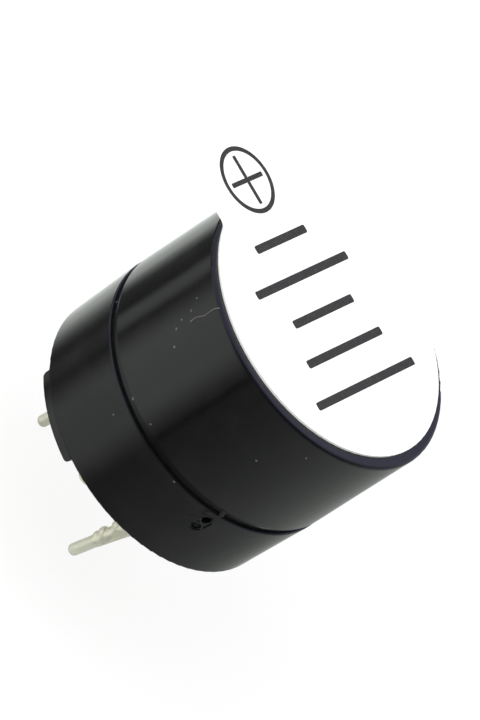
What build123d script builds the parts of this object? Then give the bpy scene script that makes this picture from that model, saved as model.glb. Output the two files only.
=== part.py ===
from build123d import *
from math import cos, radians, sin, tan
import os

os.makedirs("parts", exist_ok=True)

# Round magnetic buzzer in millimetres and degrees. +Z runs up the case's axis to the label, the origin is
# the middle of the seating plane under the feet, and +X runs to the positive pin. Bearings turn from +X
# to +Y.

# Case, two moulded halves that meet at a seam
case_dia = 11.9
cap_height = 5.705
base_height = 3.58
foot_height = 0.32
cap_draft = 0.1
base_draft = 1.92
cap_wall = 0.8
roof = 0.8
cap_top_round = 0.15
seam_bevel_rise = 0.4
seam_bevel_depth = 0.12
base_lip = 0.005
base_lip_round = 0.06
base_rim_wall = 0.78
base_rim_round = 0.08
sound_hole_dia = 2.0

# Stand-off feet, two arcs of the rim
foot_width = 0.6
foot_setback = 0.03
foot_end_round = 0.18
foot_span = 38.4
foot_bearings = (108.6, 288.6)

# Gate scar, a torn oval with two punctures, under the seam
gate_bearing = 175.9
gate_turn = 6.1
gate_rise = 2.75
gate_length = 1.0
gate_width = 0.56
gate_depth = 0.05
puncture_dia = 0.38
puncture_pitch = 0.52
puncture_depth = 0.3

# Collar of the base, inside the cap
collar_wall = 0.5
collar_gap = 0.05

# Diaphragm
diaphragm_thick = 0.1
diaphragm_edge_gap = 0.05
diaphragm_lift = 0.15
weight_dia = 3.4
weight_thick = 0.4

# Magnetic drive
yoke_thick = 0.7
yoke_seat = 0.4
magnet_gap = 0.05
magnet_bore_share = 0.67
magnet_height = 2.2
magnet_room = 1.0
core_share = 0.295
spigot_share = 0.667
air_gap = 0.4
coil_gap = 0.1
coil_share = 0.885
coil_height = 2.2
coil_round = 0.15

# Board, with the room for its components
board_thick = 0.8
board_gap = 0.05
board_recess = 0.4
component_room = 1.15
sealant_width = 0.3
sealant_drop = 0.25
sealant_gap = 0.05

# Pins, headed wires that lean from the board's underside, with a tapered shank inside the solder
pin_pitch_share = 0.63866
pin_dia = 0.5
pin_shank_dia = 0.6
pin_shank_run = 3.5
pin_hole_gap = 0.05
pin_head_dia = 0.9
pin_head_thick = 0.25
pin_head_gap = 0.05
pin_knee_drop = 0.3
pin_tip_round = 0.2
pin_lean_bearing = 48.7
positive_reach = 6.44
positive_lean_angle = 4.0
negative_reach = 4.25
negative_lean_angle = 8.6

# Solder on the pins
pin_solder_spread = 0.5
pin_solder_run = 3.4
pin_solder_skin = 0.02
pin_solder_hollow = 0.03

# Lumps in that solder: run along the wire, offset to the side it leans to, and diameter
pin_lumps = ((2.1, 0.17, 0.58), (2.85, 0.13, 0.55), (3.2, 0.1, 0.48))

# Coil wires and their solder
lead_dia = 0.12
lead_bearings = (135.0, 226.0, 314.0)
lead_inset = 0.35
lead_hole_gap = 0.05
lead_lap = 1.2
lead_drop = 0.3
lead_rise = 0.3
lead_bend = 0.15
lead_tail = 1.3
yoke_hole_dia = 0.5
lead_solder_dia = 1.3
lead_solder_height = 1.85
lead_solder_tip = 0.45

# Transistor and resistor on the board
transistor_length = 2.0
transistor_width = 1.25
transistor_height = 0.8
transistor_stand = 0.1
transistor_offset = 0.9
terminal_width = 0.3
terminal_thick = 0.12
terminal_reach = 0.18
terminal_foot = 0.2
terminal_pitch = 1.3
resistor_length = 1.6
resistor_width = 0.8
resistor_height = 0.45
resistor_offset = 1.7
fillet_run = 0.2
fillet_rise = 0.12

# Label, a film disc with a pull tab, stuck off the case's axis
label_margin = 0.29
label_thick = 0.1
label_shift = 0.207
label_shift_bearing = 9.2
tab_bearing = 44.3
tab_reach = 0.05
tab_width = 5.3
tab_neck_round = 0.35

# Clearance past a surface for every cut
overrun = 0.2

# Heights
rim_z = foot_height
seam_z = rim_z + base_height
top_z = seam_z + cap_height
roof_z = top_z - roof
board_low_z = rim_z + board_recess
board_top_z = board_low_z + board_thick
knee_z = board_low_z - pin_knee_drop
yoke_low_z = board_top_z + component_room
yoke_top_z = yoke_low_z + yoke_thick
seat_z = yoke_top_z + magnet_height + magnet_room
diaphragm_top_z = seat_z + diaphragm_thick
shoulder_z = diaphragm_top_z + diaphragm_lift
core_top_z = seat_z - air_gap
lead_end_z = board_low_z - lead_tail
peak_z = board_low_z - lead_solder_height

# Radii
case_r = case_dia / 2
cap_top_r = case_r - cap_height * tan(radians(cap_draft))
cap_bevel_r = case_r - seam_bevel_rise * tan(radians(cap_draft))
lip_r = case_r + base_lip
rim_r = lip_r - base_height * tan(radians(base_draft))
collar_r = case_r - cap_wall - collar_gap
cap_bore_r = collar_r + collar_gap
pocket_r = collar_r - collar_wall
cavity_r = pocket_r - yoke_seat
recess_r = rim_r - base_rim_wall
board_r = recess_r - board_gap
magnet_r = pocket_r - magnet_gap
magnet_bore_r = magnet_r * magnet_bore_share
core_r = magnet_bore_r * core_share
spigot_r = core_r * spigot_share
coil_r = magnet_bore_r * coil_share
pin_r = pin_dia / 2
shank_r = pin_shank_dia / 2
pin_x = case_r * pin_pitch_share
pin_head_r = pin_head_dia / 2
lead_r = lead_dia / 2
lead_top_r = coil_r + lead_r
lead_board_r = cavity_r - lead_inset
label_r = case_r - label_margin
tab_centre = label_r + tab_reach


def upright(bearing, x=0, y=0):
    """Plane that stands on a bearing, with its first axis outward and its second up."""
    out = (cos(radians(bearing)), sin(radians(bearing)), 0)
    across = (sin(radians(bearing)), -cos(radians(bearing)), 0)
    return Plane(origin=(x, y, 0), x_dir=out, z_dir=across)


def around(radius, bearing, z):
    """Point at a radius, a bearing and a height."""
    return (radius * cos(radians(bearing)), radius * sin(radians(bearing)), z)


# Base: drafted wall, recess for the board, shelf for the yoke and collar for the diaphragm
with BuildPart() as base_housing:
    with BuildSketch(Plane.XZ):
        with BuildLine():
            Polyline(
                (recess_r, rim_z),
                (rim_r, rim_z),
                (lip_r, seam_z),
                (collar_r, seam_z),
                (collar_r, seat_z),
                (pocket_r, seat_z),
                (pocket_r, yoke_low_z),
                (cavity_r, yoke_low_z),
                (cavity_r, board_top_z),
                (recess_r, board_top_z),
                close=True,
            )
        make_face()
    revolve(axis=Axis.Z)
    round_edges = base_housing.edges().filter_by(GeomType.CIRCLE)
    fillet([e for e in round_edges if abs(e.radius - rim_r) < base_rim_round], radius=base_rim_round)
    round_edges = base_housing.edges().filter_by(GeomType.CIRCLE)
    fillet([e for e in round_edges if abs(e.radius - lip_r) < base_lip_round / 2], radius=base_lip_round)
    for bearing in foot_bearings:
        with BuildSketch(upright(bearing - foot_span / 2)):
            with Locations((rim_r - foot_setback, rim_z + base_rim_round)):
                Rectangle(foot_width, foot_height + base_rim_round, align=(Align.MAX, Align.MAX))
        revolve(axis=Axis.Z, revolution_arc=foot_span)
    foot_ends = base_housing.edges().filter_by(GeomType.LINE).group_by(Axis.Z)[0]
    fillet(foot_ends, radius=foot_end_round)
    with Locations((pin_x, 0, board_top_z), (-pin_x, 0, board_top_z)):
        Cylinder(
            pin_head_r + pin_head_gap,
            pin_head_thick + pin_head_gap,
            align=(Align.CENTER, Align.CENTER, Align.MIN),
            mode=Mode.SUBTRACT,
        )
    gate_z = rim_z + gate_rise
    gate_r = rim_r + gate_rise * tan(radians(base_draft))
    gate_side = sin(radians(gate_turn))
    gate_plane = Plane(
        origin=around(gate_r + overrun, gate_bearing, gate_z),
        x_dir=around(gate_side, gate_bearing + 90, cos(radians(gate_turn))),
        z_dir=around(-1, gate_bearing, 0),
    )
    with BuildSketch(gate_plane):
        SlotOverall(gate_length, gate_width)
    extrude(amount=overrun + gate_depth, mode=Mode.SUBTRACT)
    with BuildSketch(gate_plane):
        with Locations((-puncture_pitch / 2, 0), (puncture_pitch / 2, 0)):
            Circle(puncture_dia / 2)
    extrude(amount=overrun + puncture_depth, mode=Mode.SUBTRACT)

# Cap: drafted wall with a bevelled lower edge, shoulder over the diaphragm, and sound hole
with BuildPart() as upper_cap:
    with BuildSketch(Plane.XZ):
        with BuildLine():
            Polyline(
                (cap_bore_r, seam_z),
                (case_r - seam_bevel_depth, seam_z),
                (cap_bevel_r, seam_z + seam_bevel_rise),
                (cap_top_r, top_z),
                (0, top_z),
                (0, roof_z),
                (pocket_r, roof_z),
                (pocket_r, shoulder_z),
                (cap_bore_r, shoulder_z),
                close=True,
            )
        make_face()
    revolve(axis=Axis.Z)
    fillet(upper_cap.edges().filter_by(GeomType.CIRCLE).group_by(Axis.Z)[-1], radius=cap_top_round)
    with Locations((0, 0, top_z)):
        Hole(sound_hole_dia / 2, depth=roof)

# Label: disc and rounded tab in one film
with BuildPart() as seal_label:
    label_centre = around(label_shift, label_shift_bearing, top_z)
    with BuildSketch(Plane(origin=label_centre, x_dir=around(1, tab_bearing, 0), z_dir=(0, 0, 1))):
        Circle(label_r)
        with Locations((tab_centre, 0)):
            Circle(tab_width / 2)
        with Locations((tab_centre / 2, 0)):
            Rectangle(tab_centre, tab_width)
    extrude(amount=label_thick)
    neck = seal_label.edges().filter_by(Axis.Z).sort_by_distance(label_centre)[:2]
    fillet(neck, radius=tab_neck_round)

# Pins: headed wires, upright through the board and leaning below the knee, with rounded tips
pin_ends = (
    ("positive", pin_x, positive_lean_angle, positive_reach),
    ("negative", -pin_x, negative_lean_angle, negative_reach),
)
pins = {}
pin_axes = {}
pin_sections = {}
for side, x, lean, reach in pin_ends:
    knee = (x, 0, knee_z)
    stand = upright(pin_lean_bearing, x)
    way = stand.x_dir * sin(radians(lean)) - stand.y_dir * cos(radians(lean))
    pin_axes[side] = Axis(origin=knee, direction=way)
    pin_sections[side] = Plane(origin=knee, x_dir=stand.z_dir.cross(way), z_dir=stand.z_dir)
    pin_length = (reach + knee_z) / cos(radians(lean))
    with BuildPart() as pin:
        with BuildSketch(pin_sections[side]):
            with BuildLine():
                Polyline(
                    (0, 0),
                    (shank_r, 0),
                    (pin_r, -pin_shank_run),
                    (pin_r, -pin_length),
                    (0, -pin_length),
                    close=True,
                )
            make_face()
        revolve(axis=pin_axes[side])
        fillet(pin.edges().filter_by(GeomType.CIRCLE).sort_by(Axis.Z)[0], radius=pin_tip_round)
        with Locations(knee):
            Sphere(shank_r)
            Cylinder(shank_r, board_top_z - knee_z, align=(Align.CENTER, Align.CENTER, Align.MIN))
        with Locations((x, 0, board_top_z)):
            Cylinder(pin_head_r, pin_head_thick, align=(Align.CENTER, Align.CENTER, Align.MIN))
    pins[side] = pin
positive_pin = pins["positive"]
negative_pin = pins["negative"]

# Solder of the pins: thin hollow cones along the leaning wires, each with lumps on the side it leans to
with BuildPart() as pin_solder:
    for side, axis in pin_axes.items():
        with BuildSketch(pin_sections[side]):
            with BuildLine():
                foot = (pin_solder_spread, pin_knee_drop)
                end = (pin_r + pin_solder_skin, -pin_solder_run)
                SagittaArc(foot, end, -pin_solder_hollow)
                Polyline(
                    end,
                    (0, -pin_solder_run),
                    (0, pin_knee_drop + overrun),
                    (pin_solder_spread, pin_knee_drop + overrun),
                    foot,
                )
            make_face()
        revolve(axis=axis)
        for run, offset, dia in pin_lumps:
            with Locations(axis.position + axis.direction * run + pin_sections[side].x_dir * offset):
                Sphere(dia / 2)
    split(bisect_by=Plane.XY.offset(board_low_z), keep=Keep.BOTTOM)
    add(positive_pin.part, mode=Mode.SUBTRACT)
    add(negative_pin.part, mode=Mode.SUBTRACT)

# Board: disc with holes for the pins and the coil's wires
with BuildPart() as circuit_board:
    with BuildSketch(Plane.XY.offset(board_low_z)):
        Circle(board_r)
        with Locations((pin_x, 0), (-pin_x, 0)):
            Circle(shank_r + pin_hole_gap, mode=Mode.SUBTRACT)
        with Locations([around(lead_board_r, bearing, 0) for bearing in lead_bearings]):
            Circle(lead_r + lead_hole_gap, mode=Mode.SUBTRACT)
    extrude(amount=board_thick)

# Sealant: bead in the corner of the board and the recess, clear of the pins' solder
with BuildPart() as board_sealant:
    with BuildSketch(Plane.XZ):
        with BuildLine():
            Polyline(
                (recess_r, board_low_z),
                (recess_r - sealant_width, board_low_z),
                (recess_r, board_low_z - sealant_drop),
                close=True,
            )
        make_face()
    revolve(axis=Axis.Z)
    with Locations((pin_x, 0, board_low_z), (-pin_x, 0, board_low_z)):
        Cylinder(pin_solder_spread + sealant_gap, (sealant_drop + overrun) * 2, mode=Mode.SUBTRACT)

# Yoke: plate on the base's shelf, with the core's hole and the wires' holes
with BuildPart() as yoke_plate:
    with BuildSketch(Plane.XY.offset(yoke_low_z)):
        Circle(magnet_r)
        Circle(spigot_r, mode=Mode.SUBTRACT)
        with Locations([around(lead_top_r, bearing, 0) for bearing in lead_bearings]):
            Circle(yoke_hole_dia / 2, mode=Mode.SUBTRACT)
    extrude(amount=yoke_thick)

# Core: pole with a spigot riveted into the yoke
with BuildPart() as iron_core:
    with BuildSketch(Plane.XY.offset(yoke_top_z)):
        Circle(core_r)
    extrude(amount=core_top_z - yoke_top_z)
    with BuildSketch(Plane.XY.offset(yoke_low_z)):
        Circle(spigot_r)
    extrude(amount=yoke_thick)

# Magnet: ring on the yoke
with BuildPart() as ring_magnet:
    with BuildSketch(Plane.XY.offset(yoke_top_z)):
        Circle(magnet_r)
        Circle(magnet_bore_r, mode=Mode.SUBTRACT)
    extrude(amount=magnet_height)

# Winding: round-cornered ring on the yoke, around the core
with BuildPart() as coil_winding:
    with BuildSketch(Plane.XY.offset(yoke_top_z)):
        Circle(coil_r)
        Circle(core_r + coil_gap, mode=Mode.SUBTRACT)
    extrude(amount=coil_height)
    fillet(coil_winding.edges().filter_by(GeomType.CIRCLE).group_by(Axis.Z)[-1], radius=coil_round)

# Coil wires: down the winding's side, through the yoke and out to the board
with BuildPart() as coil_leads:
    for bearing in lead_bearings:
        with BuildLine(upright(bearing)) as route:
            FilletPolyline(
                (lead_top_r, yoke_top_z + lead_lap),
                (lead_top_r, yoke_low_z - lead_drop),
                (lead_board_r, board_top_z + lead_rise),
                (lead_board_r, lead_end_z),
                radius=lead_bend,
            )
        with BuildSketch(Plane(origin=route.line @ 0, z_dir=route.line % 0)):
            Circle(lead_r)
        sweep()

# Solder of the coil wires: hollow peaks under the board, closed below the wires' ends
with BuildPart() as lead_solder:
    for bearing in lead_bearings:
        root = around(lead_board_r, bearing, 0)
        with BuildSketch(upright(bearing, root[0], root[1])):
            with BuildLine():
                edge = (lead_solder_dia / 2, board_low_z)
                shoulder = (lead_solder_tip, peak_z + lead_solder_tip)
                TangentArc(shoulder, edge, tangent=(0, 1))
                TangentArc(shoulder, (0, peak_z), tangent=(0, -1))
                Polyline((0, peak_z), (0, lead_end_z), (lead_r, lead_end_z), (lead_r, board_low_z), edge)
            make_face()
        revolve(axis=Axis(origin=root, direction=(0, 0, 1)))

# Diaphragm on the collar, with its weight
with BuildPart() as diaphragm:
    with BuildSketch(Plane.XY.offset(seat_z)):
        Circle(cap_bore_r - diaphragm_edge_gap)
    extrude(amount=diaphragm_thick)

with BuildPart() as diaphragm_weight:
    with BuildSketch(Plane.XY.offset(diaphragm_top_z)):
        Circle(weight_dia / 2)
    extrude(amount=weight_thick)

# Transistor: moulded body and three bent terminals
body_z = board_top_z + transistor_stand
with BuildPart() as driver_transistor:
    with Locations((0, transistor_offset, body_z)):
        Box(
            transistor_length,
            transistor_width,
            transistor_height,
            align=(Align.CENTER, Align.CENTER, Align.MIN),
        )

terminals = (
    (-terminal_pitch / 2, -1),
    (terminal_pitch / 2, -1),
    (0, 1),
)
terminal_z = transistor_stand + transistor_height / 2
with BuildPart() as transistor_leads:
    for x, way in terminals:
        side_y = transistor_offset + way * transistor_width / 2
        side_plane = Plane(origin=(x, side_y, board_top_z), x_dir=(0, way, 0), z_dir=(way, 0, 0))
        with BuildSketch(side_plane):
            with BuildLine():
                Polyline(
                    (0, terminal_z + terminal_thick),
                    (terminal_reach, terminal_z + terminal_thick),
                    (terminal_reach, terminal_thick),
                    (terminal_reach + terminal_foot, terminal_thick),
                    (terminal_reach + terminal_foot, 0),
                    (terminal_reach - terminal_thick, 0),
                    (terminal_reach - terminal_thick, terminal_z),
                    (0, terminal_z),
                    close=True,
                )
            make_face()
        extrude(amount=terminal_width / 2, both=True)

# Resistor: chip on the board
with BuildPart() as base_resistor:
    with Locations((0, -resistor_offset, board_top_z)):
        Box(
            resistor_length,
            resistor_width,
            resistor_height,
            align=(Align.CENTER, Align.CENTER, Align.MIN),
        )

# Solder of the transistor and the resistor: wedges at each terminal
with BuildPart() as component_solder:
    for x, way in terminals:
        end_y = transistor_offset + way * (transistor_width / 2 + terminal_reach + terminal_foot)
        end_plane = Plane(origin=(x, end_y, board_top_z), x_dir=(0, way, 0), z_dir=(way, 0, 0))
        with BuildSketch(end_plane):
            with BuildLine():
                Polyline((0, 0), (fillet_run, 0), (0, fillet_rise), close=True)
            make_face()
        extrude(amount=terminal_width / 2, both=True)
    for way in (-1, 1):
        end_plane = Plane(
            origin=(way * resistor_length / 2, -resistor_offset, board_top_z),
            x_dir=(way, 0, 0),
            z_dir=(0, -way, 0),
        )
        with BuildSketch(end_plane):
            with BuildLine():
                Polyline((0, 0), (fillet_run, 0), (0, resistor_height), close=True)
            make_face()
        extrude(amount=resistor_width / 2, both=True)

base_housing.part.label = "base_housing"
export_step(base_housing.part, "parts/base_housing.step")
upper_cap.part.label = "upper_cap"
export_step(upper_cap.part, "parts/upper_cap.step")
seal_label.part.label = "seal_label"
export_step(seal_label.part, "parts/seal_label.step")
positive_pin.part.label = "positive_pin"
export_step(positive_pin.part, "parts/positive_pin.step")
negative_pin.part.label = "negative_pin"
export_step(negative_pin.part, "parts/negative_pin.step")
pin_solder.part.label = "pin_solder"
export_step(pin_solder.part, "parts/pin_solder.step")
circuit_board.part.label = "circuit_board"
export_step(circuit_board.part, "parts/circuit_board.step")
board_sealant.part.label = "board_sealant"
export_step(board_sealant.part, "parts/board_sealant.step")
yoke_plate.part.label = "yoke_plate"
export_step(yoke_plate.part, "parts/yoke_plate.step")
iron_core.part.label = "iron_core"
export_step(iron_core.part, "parts/iron_core.step")
ring_magnet.part.label = "ring_magnet"
export_step(ring_magnet.part, "parts/ring_magnet.step")
coil_winding.part.label = "coil_winding"
export_step(coil_winding.part, "parts/coil_winding.step")
coil_leads.part.label = "coil_leads"
export_step(coil_leads.part, "parts/coil_leads.step")
lead_solder.part.label = "lead_solder"
export_step(lead_solder.part, "parts/lead_solder.step")
diaphragm.part.label = "diaphragm"
export_step(diaphragm.part, "parts/diaphragm.step")
diaphragm_weight.part.label = "diaphragm_weight"
export_step(diaphragm_weight.part, "parts/diaphragm_weight.step")
driver_transistor.part.label = "driver_transistor"
export_step(driver_transistor.part, "parts/driver_transistor.step")
transistor_leads.part.label = "transistor_leads"
export_step(transistor_leads.part, "parts/transistor_leads.step")
base_resistor.part.label = "base_resistor"
export_step(base_resistor.part, "parts/base_resistor.step")
component_solder.part.label = "component_solder"
export_step(component_solder.part, "parts/component_solder.step")
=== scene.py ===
"""Looks of a round active buzzer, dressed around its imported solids."""

import logging
import math
import random
from abc import ABC, abstractmethod
from dataclasses import dataclass, field
from enum import Enum
from functools import cache
from typing import Iterable, Mapping, Sequence, Union

import bmesh
import bpy
from mathutils import Matrix, Vector
from mathutils.bvhtree import BVHTree


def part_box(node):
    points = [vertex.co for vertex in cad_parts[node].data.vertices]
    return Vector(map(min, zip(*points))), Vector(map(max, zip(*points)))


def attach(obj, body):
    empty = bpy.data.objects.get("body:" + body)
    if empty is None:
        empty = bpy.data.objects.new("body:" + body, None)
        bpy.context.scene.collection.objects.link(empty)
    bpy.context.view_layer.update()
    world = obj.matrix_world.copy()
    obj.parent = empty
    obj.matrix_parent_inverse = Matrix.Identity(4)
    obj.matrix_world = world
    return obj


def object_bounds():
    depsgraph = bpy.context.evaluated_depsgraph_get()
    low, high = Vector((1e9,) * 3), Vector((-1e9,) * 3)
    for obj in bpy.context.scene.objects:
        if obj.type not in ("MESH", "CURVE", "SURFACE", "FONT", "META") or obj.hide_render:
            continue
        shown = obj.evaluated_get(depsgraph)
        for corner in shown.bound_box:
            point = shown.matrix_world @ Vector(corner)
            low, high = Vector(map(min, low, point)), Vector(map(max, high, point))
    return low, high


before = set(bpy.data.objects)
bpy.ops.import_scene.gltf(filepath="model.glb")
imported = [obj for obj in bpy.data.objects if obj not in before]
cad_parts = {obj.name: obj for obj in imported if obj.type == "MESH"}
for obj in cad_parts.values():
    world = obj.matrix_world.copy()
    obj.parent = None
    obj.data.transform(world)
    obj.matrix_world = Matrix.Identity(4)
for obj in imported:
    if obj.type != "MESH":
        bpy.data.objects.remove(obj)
cad_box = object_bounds()

log = logging.getLogger("buzzer")

MM = 0.001
BODY = "root"
WELD = 1e-7
HALF_UNIT = 0.5
CORNER_STEPS = 4
CORNER_SHARE = 0.25
QUARTER_TURN = 90.0
FULL_TURN = 360.0
UP = Vector((0.0, 0.0, 1.0))

# Numbers of the Mix node's sockets that take and give colours.
MIX_ENDS = (6, 7)
MIX_RESULT = 2

Colour = tuple[float, float, float]
Span = tuple[float, float]
Value = Union["Socket", float, Sequence[float]]
Settings = Mapping[str, object]
Inputs = Mapping[Union[str, int], Value]

WHITE: Colour = (1.0, 1.0, 1.0)
BLACK: Colour = (0.0, 0.0, 0.0)


class Slot(Enum):
    """Material slots of the record, one handed to each new piece, which keeps it without using it."""

    CASE = "case_plastic"
    FILM = "label_film"


class Half(Enum):
    """Moulded halves of the case."""

    BASE = "base_housing"
    CAP = "upper_cap"


class Ray(Enum):
    """Kinds of ray that the light tells apart."""

    CAMERA = "Is Camera Ray"
    GLOSS = "Is Glossy Ray"
    GLASS = "Is Transmission Ray"


class Socket:
    """A shader value that adds its Math nodes as it takes part in an expression."""

    def __init__(self, shader: "Shader", link: bpy.types.NodeSocket) -> None:
        """Keeps the shader and the output that holds the value."""
        self.shader = shader
        self.link = link

    def math(self, operation: str, first: Value, second: Value = 0.0) -> "Socket":
        """Adds one Math node.

        Args:
            operation: the node's operation.
            first: its first value.
            second: its second value, where it takes one.

        Returns:
            The node's result.
        """
        return self.shader.value("ShaderNodeMath", {"operation": operation}, {0: first, 1: second})

    def __add__(self, other: Value) -> "Socket":
        """Sum."""
        return self.math("ADD", self, other)

    def __radd__(self, other: Value) -> "Socket":
        """Sum, with the number first."""
        return self.math("ADD", other, self)

    def __sub__(self, other: Value) -> "Socket":
        """Difference."""
        return self.math("SUBTRACT", self, other)

    def __rsub__(self, other: Value) -> "Socket":
        """Difference, with the number first."""
        return self.math("SUBTRACT", other, self)

    def __mul__(self, other: Value) -> "Socket":
        """Product."""
        return self.math("MULTIPLY", self, other)

    def __rmul__(self, other: Value) -> "Socket":
        """Product, with the number first."""
        return self.math("MULTIPLY", other, self)

    def __truediv__(self, other: Value) -> "Socket":
        """Quotient."""
        return self.math("DIVIDE", self, other)

    def largest(self, other: Value) -> "Socket":
        """The larger of two values."""
        return self.math("MAXIMUM", self, other)

    def size(self) -> "Socket":
        """The value without its sign."""
        return self.math("ABSOLUTE", self)

    def root(self) -> "Socket":
        """Square root of the value."""
        return self.math("SQRT", self)

    def fraction(self) -> "Socket":
        """What is left of the value past a whole number."""
        return self.math("FRACT", self)

    def bearing(self, across: "Socket") -> "Socket":
        """Bearing in degrees, from this Y and an X."""
        return self.math("ARCTAN2", self, across) * math.degrees(1.0)

    def wave(self, pitch: float) -> "Socket":
        """Sine that repeats at a pitch."""
        return self.math("SINE", self * (2.0 * math.pi / pitch))

    def lifted(self) -> "Socket":
        """A wave from -1 to 1, brought to between 0 and 1."""
        return self * 0.5 + 0.5

    def smooth(self, low: float, high: float) -> "Socket":
        """Goes smoothly from 0 at the low value to 1 at the high one.

        Args:
            low: value that gives 0.
            high: value that gives 1.

        Returns:
            The smoothed share.
        """
        settings = {"interpolation_type": "SMOOTHSTEP"}
        inputs = {"Value": self, "From Min": low, "From Max": high}
        return self.shader.value("ShaderNodeMapRange", settings, inputs)


@dataclass(frozen=True)
class Grain:
    """A noise: the size of its grain, its octaves and the share of each finer octave."""

    size: float
    detail: float = 3.0
    rough: float = 0.6


def opaque(colour: Colour) -> tuple[float, float, float, float]:
    """A colour with full cover, as a socket takes it."""
    return (*colour, 1.0)


class Shader:
    """Nodes of one material or of the world."""

    def __init__(self, tree: bpy.types.NodeTree) -> None:
        """Empties the tree."""
        self.tree = tree
        tree.nodes.clear()

    def node(self, kind: str, settings: Settings, inputs: Inputs) -> bpy.types.Node:
        """Adds a node.

        Args:
            kind: the node's type.
            settings: its properties, which are set first.
            inputs: values or sockets by input name or number.

        Returns:
            The node.
        """
        made = self.tree.nodes.new(kind)
        for name, setting in settings.items():
            setattr(made, name, setting)
        for name, value in inputs.items():
            self.feed(made.inputs[name], value)
        return made

    def value(self, kind: str, settings: Settings, inputs: Inputs, output: Union[str, int] = 0) -> Socket:
        """Adds a node and returns one of its outputs.

        Args:
            kind: the node's type.
            settings: its properties.
            inputs: values or sockets by input name or number.
            output: name or number of the output.

        Returns:
            That output as a socket.
        """
        return Socket(self, self.node(kind, settings, inputs).outputs[output])

    def feed(self, target: bpy.types.NodeSocket, value: Value) -> None:
        """Links a socket to an input, or sets the input's own value.

        Args:
            target: the input.
            value: a socket, a number or a row of numbers.
        """
        if isinstance(value, Socket):
            self.tree.links.new(value.link, target)
        else:
            target.default_value = value

    def place(self) -> Socket:
        """Object coordinates, in metres."""
        return self.value("ShaderNodeTexCoord", {}, {}, "Object")

    def stretched(self, factors: Sequence[float]) -> Socket:
        """Object coordinates times a factor along each axis."""
        return self.value("ShaderNodeMapping", {}, {"Vector": self.place(), "Scale": factors})

    def axes(self, vector: Socket) -> tuple[Socket, ...]:
        """X, Y and Z of a vector."""
        split = self.node("ShaderNodeSeparateXYZ", {}, {"Vector": vector})
        return tuple(Socket(self, split.outputs[axis]) for axis in "XYZ")

    def noise(self, grain: Grain, where: Socket | None = None) -> Socket:
        """Noise with a given grain.

        Args:
            grain: its size and octaves.
            where: coordinates, by default the object's.

        Returns:
            A value around 0.5.
        """
        inputs = {
            "Vector": where or self.place(),
            "Scale": 1.0 / grain.size,
            "Detail": grain.detail,
            "Roughness": grain.rough,
        }
        return self.value("ShaderNodeTexNoise", {}, inputs)

    def cells(self, grain: float) -> Socket:
        """Distance to the nearest of scattered points, in shares of the grain."""
        inputs = {"Vector": self.place(), "Scale": 1.0 / grain}
        return self.value("ShaderNodeTexVoronoi", {}, inputs, "Distance")

    def blend(self, first: Value, second: Value, share: Value) -> Socket:
        """Mixes two colours.

        Args:
            first: colour at share 0.
            second: colour at share 1.
            share: how much of the second colour.

        Returns:
            The mixed colour.
        """
        ends = {0: share}
        for number, colour in zip(MIX_ENDS, (first, second)):
            ends[number] = colour if isinstance(colour, Socket) else opaque(colour)
        return self.value("ShaderNodeMix", {"data_type": "RGBA"}, ends, MIX_RESULT)

    def relief(self, height: Socket, depth: float) -> Socket:
        """Normal of a bumpy surface, from its relief and the height in metres of 1 in that relief."""
        inputs = {"Height": height, "Distance": depth, "Strength": 1.0}
        return self.value("ShaderNodeBump", {}, inputs, "Normal")

    def surface(self, inputs: Inputs) -> None:
        """Ends the material in a Principled surface.

        Args:
            inputs: the surface's values or sockets by name.
        """
        body = self.node("ShaderNodeBsdfPrincipled", {}, inputs)
        end = self.node("ShaderNodeOutputMaterial", {}, {})
        self.tree.links.new(body.outputs["BSDF"], end.inputs["Surface"])


@dataclass(frozen=True)
class Finish(ABC):
    """A named finish that paints its own material."""

    name: str

    @cache
    def material(self) -> bpy.types.Material:
        """Makes the finish's material on first use.

        Returns:
            The material.
        """
        made = bpy.data.materials.new(self.name)
        made.use_nodes = True
        self.paint(Shader(made.node_tree))
        return made

    @abstractmethod
    def paint(self, shader: Shader) -> None:
        """Adds the finish's nodes."""


@dataclass(frozen=True)
class MouldedPlastic(Finish):
    """Glossy moulded thermoplastic with a wavy skin, handling haze and fine pores."""

    colour: Colour = (0.0037, 0.0039, 0.0038)
    haze_colour: Colour = (0.0062, 0.0064, 0.006)
    gloss: float = 0.07
    haze_dull: float = 0.05
    pore_dull: float = 0.02
    index: float = 1.5
    wave: Grain = Grain(2.6 * MM, 2.0, 0.4)
    haze: Grain = Grain(1.56 * MM, 5.0)
    haze_span: Span = (0.42, 0.72)
    pores: Grain = Grain(0.09 * MM, 2.0, 0.5)
    wave_depth: float = 0.004 * MM
    pore_depth: float = 0.0005 * MM

    def paint(self, shader: Shader) -> None:
        """Dark skin whose haze dulls it in patches, over a slow wave and fine pores.

        Args:
            shader: the material's nodes.
        """
        wave = shader.noise(self.wave)
        haze = shader.noise(self.haze).smooth(*self.haze_span)
        pores = shader.noise(self.pores)
        relief = wave * (self.wave_depth / self.pore_depth) + pores
        shader.surface(
            {
                "Base Color": shader.blend(self.colour, self.haze_colour, haze),
                "Roughness": self.gloss + haze * self.haze_dull + pores * self.pore_dull,
                "IOR": self.index,
                "Normal": shader.relief(relief, self.pore_depth),
            }
        )


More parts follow.
